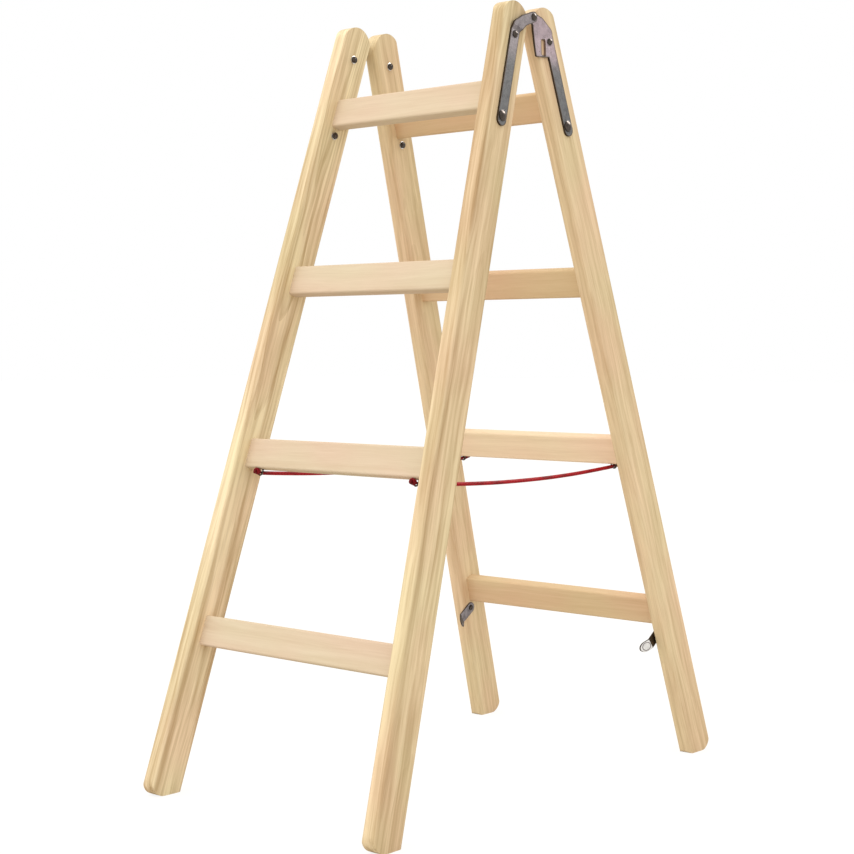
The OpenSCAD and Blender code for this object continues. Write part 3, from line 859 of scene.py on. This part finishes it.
def hex_nut(flats, height):
    """A hexagon nut that stands on the XY plane, its corners turned off at both ends."""
    corner = flats / 2 / math.cos(math.radians(30))
    bpy.ops.object.select_all(action="DESELECT")
    bpy.ops.mesh.primitive_cylinder_add(vertices=6, radius=corner, depth=height,
                                        location=(0, 0, height / 2))
    nut = bpy.context.object
    bpy.ops.object.transform_apply(location=True)
    # A chamfered disc, just wider than the nut, keeps of it what lies inside
    wider = 1.001
    bpy.ops.object.select_all(action="DESELECT")
    bpy.ops.mesh.primitive_cylinder_add(vertices=60, radius=corner * wider, depth=height * wider,
                                        location=(0, 0, height / 2))
    turned = bpy.context.object
    bpy.ops.object.transform_apply(location=True)
    rounded_edges(turned, (corner - flats / 2) * 1.3, segments=1)
    take(nut)
    cut = nut.modifiers.new("Chamfer", "BOOLEAN")
    cut.operation = "INTERSECT"
    cut.solver = "EXACT"
    cut.object = turned
    bpy.ops.object.modifier_apply(modifier=cut.name)
    bpy.data.objects.remove(turned)
    return nut


def in_lit_slot(face):
    """Whether a face of a slotted plate is a wall of its slot, which keeps the bright zinc as a painted highlight.
    """
    y, z = abs(face.center.y), face.center.z
    return SLOT_NEAR.y < y < SLOT_FAR.y and SLOT_NEAR.z < z < SLOT_FAR.z and abs(face.normal.x) < 0.5


class LADDER_OT_hinges(bpy.types.Operator):
    """Gives the hinge arms and slotted plates eased, darker rims round their zinc faces, dark with tarnish and
    painted shade
    """
    bl_idname = "ladder.hinges"
    bl_label = "Hinge Plates"

    def execute(self, context):
        metal = context.scene.ladder_metal
        rim_wide, rim_round = 1.2 * MM, 0.5 * MM
        # Zinc-plated sheet: cloudy mauve grey on the slotted plates, duller on the arms
        zincs = {
            "hinge_arm": zinc_plate("Zinc-plated hinge arm", metal.arm, metal.roughness,
                                    low_colour=metal.strap),
            "hinge_plate": zinc_plate("Zinc-plated slotted plate", metal.plate, metal.roughness,
                                      low_colour=metal.strap),
        }
        # Sheared rims: dark brown, and duller still, partly from lost plating and partly painted shade along the
        # edges and sides
        rim = zinc_plate(RIM_SHADE_STEEL, metal.edge, metal.roughness + 0.08, cloud_size=9 * MM, deepest=0.6)
        bodies = {node: body for body, nodes in frame["record"]["behaviour"]["bodies"].items()
                  for node in nodes}
        for node in ("hinge_arm_left", "hinge_arm_right", "hinge_plate_left", "hinge_plate_right"):
            piece = clean_copy(node, "Sheet." + node, whole_faces=False)
            piece.data.materials.append(zincs[node.rsplit("_", 1)[0]])
            piece.data.materials.append(rim)
            outward = 1 if node.endswith("right") else -1
            # Painted shade: every face takes the dark rim steel at first, and only the middle of the outer face
            # gets its zinc back, leaving a ring of painted shade round it
            for face in piece.data.polygons:
                # Painted highlight: the slot's walls keep their bright zinc
                slot_highlight = node.startswith("hinge_plate") and in_lit_slot(face)
                face.material_index = 0 if slot_highlight else 1
            choose(piece, "polygons", lambda face: face.normal.x * outward > 0.8)
            bpy.ops.mesh.inset(thickness=rim_wide, depth=0, use_boundary=True, use_even_offset=True)
            bpy.context.object.active_material_index = 0
            bpy.ops.object.material_slot_assign()
            rounded_edges(piece, rim_round)
            finish_metal(piece, smooth=8)
            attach(piece, bodies[node])
            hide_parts(node)
        return {"FINISHED"}


class LADDER_OT_bolts(bpy.types.Operator):
    """Adds the bolts with their domed heads, threaded ends, washers and nuts"""
    bl_idname = "ladder.bolts"
    bl_label = "Bolts"

    def execute(self, context):
        metal = context.scene.ladder_metal
        # Turned steel under thin, darkened zinc: deep brown with a sharp gleam, the brown partly its own finish
        # and partly painted reflection of darker surroundings
        steel = zinc_plate(TURNED_STEEL, metal.fastener, roughness=0.2, cloud_size=5 * MM, deepest=0.55)
        # Bright and even zinc: a painted reflection, brightening washers that reflect darker surroundings
        washer_reflection_zinc = zinc_plate("Bright zinc of the washers", metal.pad, roughness=0.3, cloud_size=6 * MM,
                          deepest=0.7)
        # Heads' radii, height and rim, then the washers, nuts and threads on the inner faces
        head_radii, head_high, head_rim = {"upper": 5.5 * MM, "lower": 8.5 * MM}, 4 * MM, 0.8 * MM
        washer_radius, washer_thick = 6.25 * MM, 1 * MM
        nut_flats, nut_high, nut_round = 10 * MM, 3 * MM, 0.2 * MM
        # The thread is modelled from 0.8 of the nut's height until 1 mm past it
        thread_radius, thread_pitch = 3 * MM, 0.8 * MM
        thread_start, thread_long = nut_high * 0.8, nut_high * 0.2 + 1 * MM
        for which in ("front", "rear"):
            heads, ends, washers, nuts = {"upper": [], "lower": []}, [], [], []
            for side in ("left", "right"):
                for row, drop in BOLT_DROPS.items():
                    seat, outward, _, up = on_stile(which, side, STILE_MIDDLE, drop, PLATE_THICK)
                    heads[row].append(standing_on(seat, outward, up))
                    inner, outward, _, up = on_stile(which, side, STILE_MIDDLE, drop, -STILE_THICK)
                    # No two nuts are tightened to the same turn
                    twist = Matrix.Rotation(math.radians(13 + 29 * len(nuts)), 4, "Z")
                    inside = standing_on(inner, -outward, up)
                    washers.append(inside)
                    nuts.append(inside @ Matrix.Translation((0, 0, washer_thick)) @ twist)
                    ends.append(inside @ Matrix.Translation((0, 0, washer_thick + thread_start)))
            parts = [copies_at(domed_head(radius, head_high, head_rim), heads[row], f"Heads.{row}")
                     for row, radius in head_radii.items()]
            end = threaded_end(thread_radius, thread_long, thread_pitch)
            bolts = joined(*parts, copies_at(end, ends, "Ends"))
            bolts.name = f"Bolts.{which}"
            nut = hex_nut(nut_flats, nut_high)
            rounded_edges(nut, nut_round)
            washer = round_bar(washer_radius, washer_thick)
            made = {
                "bolts": (bolts, steel),
                "nuts": (copies_at(nut, nuts, f"Nuts.{which}"), steel),
                "washers": (copies_at(washer, washers, f"Washers.{which}"), washer_reflection_zinc),
            }
            for kind, (piece, material) in made.items():
                finish_metal(piece, material)
                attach(piece, f"{which}_frame")
                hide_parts(f"{which}_{kind}")
        return {"FINISHED"}


class LADDER_OT_rivets(bpy.types.Operator):
    """Adds the two pivot rivets that the hinge plates turn on"""
    bl_idname = "ladder.rivets"
    bl_label = "Pivot Rivets"

    def execute(self, context):
        steel = bpy.data.materials[TURNED_STEEL]
        # The domed head outside, the flat tail inside and the shank that joins them, 2 mm shorter than
        # the rivet
        head_radius, head_high, head_rim = 6 * MM, 3.5 * MM, 0.5 * MM
        tail_radius, tail_thick = 6.5 * MM, 1.1 * MM
        shank_radius, shank_start, shank_short = 4 * MM, 0.5 * MM, 2 * MM
        for side, body in (("left", "rear_frame"), ("right", "front_frame")):
            low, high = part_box(f"pivot_rivet_{side}")
            sign, inner = (1, low[0]) if side == "right" else (-1, high[0])
            length = high[0] - low[0]
            place = standing_on(Vector((inner, PIVOT.y, PIVOT.z)), Vector((sign, 0, 0)),
                                Vector((0, 0, 1)))
            head = domed_head(head_radius, head_high, head_rim)
            head.data.transform(Matrix.Translation((0, 0, length - head_high)))
            tail = round_bar(tail_radius, tail_thick)
            shank = round_bar(shank_radius, length - shank_short, shank_start)
            piece = copies_at(joined(head, tail, shank), [place], f"Rivet.{side}")
            finish_metal(piece, steel)
            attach(piece, body)
            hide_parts(f"pivot_rivet_{side}")
        return {"FINISHED"}


class LADDER_OT_latches(bpy.types.Operator):
    """Adds the two latches with their pressed thumb pads, and their slotted screws"""
    bl_idname = "ladder.latches"
    bl_label = "Latches"

    def execute(self, context):
        metal = context.scene.ladder_metal
        # Pale zinc with soft clouds, a painted highlight on the thumb pads' outer sides
        pad_highlight_zinc = zinc_plate("Polished zinc of the thumb pads", metal.pad, roughness=0.35,
                              cloud_size=8 * MM, deepest=0.8)
        # Duller grey zinc, with small clouds
        strap_zinc = zinc_plate("Dull zinc of the latch straps", metal.arm, metal.roughness,
                                cloud_size=6 * MM)
        rim = bpy.data.materials[RIM_SHADE_STEEL]
        steel = bpy.data.materials[TURNED_STEEL]
        # The screw's place on the stile: out from the pivot, down from the top and off the inner face
        screw_out, screw_drop, gap = 18.5 * MM, 1.022, 0.3 * MM
        # From the screw to the strap's bend and on to the pad's middle, the pad's turn from the strap,
        # and the strap's tilt at rest
        bend, past, turn, tilt = 29 * MM, 7 * MM, math.radians(34), math.radians(18)
        # The pad's pressed rim is a ring of round wire, whose middle lies sunk in the pad
        ring_radius, ring_wire, ring_sunk, edge_round = 7.2 * MM, 1.3 * MM, 1 * MM, 0.4 * MM
        # The screws' heads stand clear of the straps; their slots are 1.2 mm wide and 1 mm deep
        head_off, head_radius, head_high, head_rim = 2.3 * MM, 5 * MM, 2.5 * MM, 0.7 * MM
        slot_middle, slot_size = (0, 0, 2.2 * MM), (12 * MM, 1.2 * MM, 1.4 * MM)
        screws = []
        for side in ("left", "right"):
            origin, outward, away, up = on_stile("rear", side, screw_out, screw_drop,
                                                 -STILE_THICK - gap)
            strap = -(away * math.cos(tilt) + up * math.sin(tilt))
            facing = outward * math.cos(turn) + strap * math.sin(turn)
            pad = (origin + strap * (bend + past) - outward * (past * math.tan(turn))
                   - facing * ring_sunk)
            piece = clean_copy(f"latch_{side}", f"Latch.{side}")
            for material in (pad_highlight_zinc, strap_zinc, rim):
                piece.data.materials.append(material)
            rounded_edges(piece, edge_round)
            for face in piece.data.polygons:
                # Painted light: the pad's outer side takes the pale zinc as painted highlight, the strap's inboard
                # side the duller zinc, and the rims, the strap's outer side and the pad's back the dark rim steel
                # as painted shade
                pad_highlight = face.normal.dot(facing) > 0.97 and face.normal.dot(outward) < 0.97
                inboard = face.normal.dot(outward) < -0.97
                face.material_index = 0 if pad_highlight else 1 if inboard else 2
            bpy.ops.object.select_all(action="DESELECT")
            bpy.ops.mesh.primitive_torus_add(major_radius=ring_radius, minor_radius=ring_wire,
                                             major_segments=48, minor_segments=12)
            ring = bpy.context.object
            ring.data.transform(standing_on(pad, facing, strap))
            ring.data.materials.append(strap_zinc)
            piece = joined(piece, ring)
            finish_metal(piece, smooth=20)
            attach(piece, f"latch_{side}")
            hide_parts(f"latch_{side}")
            # The slots stand at a slant
            screws.append(standing_on(origin - outward * head_off, -outward, up + away * 0.6))
        head = domed_head(head_radius, head_high, head_rim)
        bpy.ops.object.select_all(action="DESELECT")
        bpy.ops.mesh.primitive_cube_add(size=1, location=slot_middle, scale=slot_size)
        blade = bpy.context.object
        take(head)
        slot = head.modifiers.new("Slot", "BOOLEAN")
        slot.operation = "DIFFERENCE"
        slot.solver = "EXACT"
        slot.object = blade
        bpy.ops.object.modifier_apply(modifier=slot.name)
        bpy.data.objects.remove(blade)
        piece = copies_at(head, screws, "Screws.latches")
        finish_metal(piece, steel)
        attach(piece, "rear_frame")
        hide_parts("latch_screws")
        return {"FINISHED"}


class LADDER_OT_staples(bpy.types.Operator):
    """Gives the wire staples under the third rungs their zinc"""
    bl_idname = "ladder.staples"
    bl_label = "Staples"

    def execute(self, context):
        metal = context.scene.ladder_metal
        # Drawn wire: dark brown, partly tarnish and partly painted shade under the rungs, with a soft gleam
        shaded_wire = zinc_plate("Tarnished drawn wire", metal.edge, roughness=0.3, cloud_size=6 * MM)
        for node in ("front_staples", "rear_staples"):
            dress(node, shaded_wire)
        return {"FINISHED"}


# ---------------------------------------------------------------- stage


class LADDER_OT_camera(bpy.types.Operator):
    """Sets up the camera"""
    bl_idname = "ladder.camera"
    bl_label = "Camera"

    def execute(self, context):
        stage = context.scene.ladder_stage
        camera = bpy.data.objects.new("Camera", bpy.data.cameras.new("Camera"))
        context.collection.objects.link(camera)
        yaw, pitch = stage.camera_yaw, stage.camera_pitch
        level = math.cos(pitch)
        ahead = Vector((-math.sin(yaw) * level, math.cos(yaw) * level, math.sin(pitch)))
        camera.location = stage.camera_at
        camera.rotation_mode = "QUATERNION"
        camera.rotation_quaternion = ahead.to_track_quat("-Z", "Y")
        camera.data.sensor_width = 36
        camera.data.lens = stage.lens
        camera.data.clip_start = 0.05
        camera.data.clip_end = 60
        context.scene.camera = camera
        return {"FINISHED"}


def seen_ray(tree):
    """1 for the rays that show the surroundings, straight or in metal, and 0 for those that light."""
    path = add_node(tree, "ShaderNodeLightPath")
    shiny = add_node(tree, "ShaderNodeMath",
                     {0: path.outputs["Is Glossy Ray"], 1: path.outputs["Is Transmission Ray"]},
                     operation="MAXIMUM")
    seen = add_node(tree, "ShaderNodeMath", {0: path.outputs["Is Camera Ray"], 1: shiny.outputs[0]},
                    operation="MAXIMUM")
    return seen.outputs[0]


class LADDER_OT_stage(bpy.types.Operator):
    """Adds the pale floor, the soft light and the white surroundings"""
    bl_idname = "ladder.stage"
    bl_label = "Stage"

    def execute(self, context):
        stage = context.scene.ladder_stage
        # Where the floor is seen, this share of it glows white, and the rest takes the shadow
        glow_share, glow_strength = 0.72, 1.2
        bpy.ops.object.select_all(action="DESELECT")
        bpy.ops.mesh.primitive_plane_add(size=60, location=(0, 0, 0))
        floor = context.object
        floor.name = "Floor"
        # Matt paint: a warm, weak bounce on the ladder, no gleam, and white to the eye
        material, tree = new_material("Matt white studio floor")
        seen = seen_ray(tree)
        matt = add_node(tree, "ShaderNodeBsdfDiffuse", {"Color": (*srgb("#C5BFB5"), 1)})
        glow = add_node(tree, "ShaderNodeEmission", {"Color": WHITE, "Strength": glow_strength})
        share = add_node(tree, "ShaderNodeMath", {0: seen, 1: glow_share}, operation="MULTIPLY")
        mixed = add_node(tree, "ShaderNodeMixShader",
                         {0: share.outputs[0], 1: matt.outputs[0], 2: glow.outputs[0]})
        add_node(tree, "ShaderNodeOutputMaterial", {0: mixed.outputs[0]})
        floor.data.materials.append(material)

        world = bpy.data.worlds.new("Studio")
        context.scene.world = world
        world.use_nodes = True
        tree = world.node_tree
        tree.nodes.clear()
        seen = seen_ray(tree)
        # The light falls off from the front of the room to its back, and the room is seen as white
        compass = add_node(tree, "ShaderNodeTexCoord")
        towards = add_node(tree, "ShaderNodeSeparateXYZ", {0: compass.outputs["Generated"]})
        around = add_node(tree, "ShaderNodeMapRange",
                          {0: towards.outputs["Y"], 1: -0.3, 2: 1.0, 3: stage.fill, 4: stage.back})
        strength = add_node(tree, "ShaderNodeMapRange", {0: seen, 3: around.outputs[0], 4: 1.0})
        light = add_node(tree, "ShaderNodeBackground",
                         {"Color": WHITE, "Strength": strength.outputs[0]})
        add_node(tree, "ShaderNodeOutputWorld", {0: light.outputs[0]})

        # Each lamp's place, width and height, and power; both point just above the ladder's middle
        aim = Vector((0, 0, 0.7))
        lamps = {
            "Key": ((-0.9, -2.4, 3.6), (2.4, 2.0), stage.key_power),
            "Sheen": ((1.3, 2.2, 3.15), (1.8, 1.8), stage.sheen_power),
        }
        for name, (at, size, power) in lamps.items():
            data = bpy.data.lights.new(name, "AREA")
            data.shape = "RECTANGLE"
            data.size, data.size_y = size
            data.energy = power
            lamp = bpy.data.objects.new(name, data)
            context.collection.objects.link(lamp)
            lamp.location = at
            lamp.rotation_mode = "QUATERNION"
            lamp.rotation_quaternion = (aim - lamp.location).to_track_quat("-Z", "Y")
            lamp.visible_diffuse = name != "Sheen"
        return {"FINISHED"}


# ---------------------------------------------------------------- add-on


class LADDER_PT_panel(bpy.types.Panel):
    """Lists what can be added, and the sizes and colours that it takes"""
    bl_label = "Step Ladder"
    bl_space_type = "VIEW_3D"
    bl_region_type = "UI"
    bl_category = "Ladder"

    def draw(self, context):
        for operator in OPERATORS:
            self.layout.operator(operator.bl_idname)
        for name in SETTINGS:
            box = self.layout.box()
            group = getattr(context.scene, name)
            for item in group.bl_rna.properties:
                if item.identifier not in {"rna_type", "name"}:
                    box.prop(group, item.identifier)


SETTINGS = {
    "ladder_wood": LADDER_PG_wood,
    "ladder_metal": LADDER_PG_metal,
    "ladder_cord": LADDER_PG_cord,
    "ladder_stage": LADDER_PG_stage,
}
OPERATORS = [
    LADDER_OT_camera,
    LADDER_OT_cords,
    LADDER_OT_knots,
    LADDER_OT_stiles,
    LADDER_OT_rungs,
    LADDER_OT_hinges,
    LADDER_OT_bolts,
    LADDER_OT_rivets,
    LADDER_OT_latches,
    LADDER_OT_staples,
    LADDER_OT_stage,
]


def register():
    """Adds the classes, and the settings to the scene."""
    for group in (*SETTINGS.values(), *OPERATORS, LADDER_PT_panel):
        bpy.utils.register_class(group)
    for name, group in SETTINGS.items():
        setattr(bpy.types.Scene, name, bpy.props.PointerProperty(type=group))


def unregister():
    """Takes the settings and the classes away again."""
    for name in SETTINGS:
        delattr(bpy.types.Scene, name)
    for group in (LADDER_PT_panel, *reversed(OPERATORS), *SETTINGS.values()):
        bpy.utils.unregister_class(group)


def main():
    """Registers the add-on and dresses the ladder."""
    register()
    bpy.context.scene.view_settings.view_transform = "Standard"
    for operator in OPERATORS:
        area, name = operator.bl_idname.split(".")
        getattr(getattr(bpy.ops, area), name)()


if __name__ == "__main__":
    main()
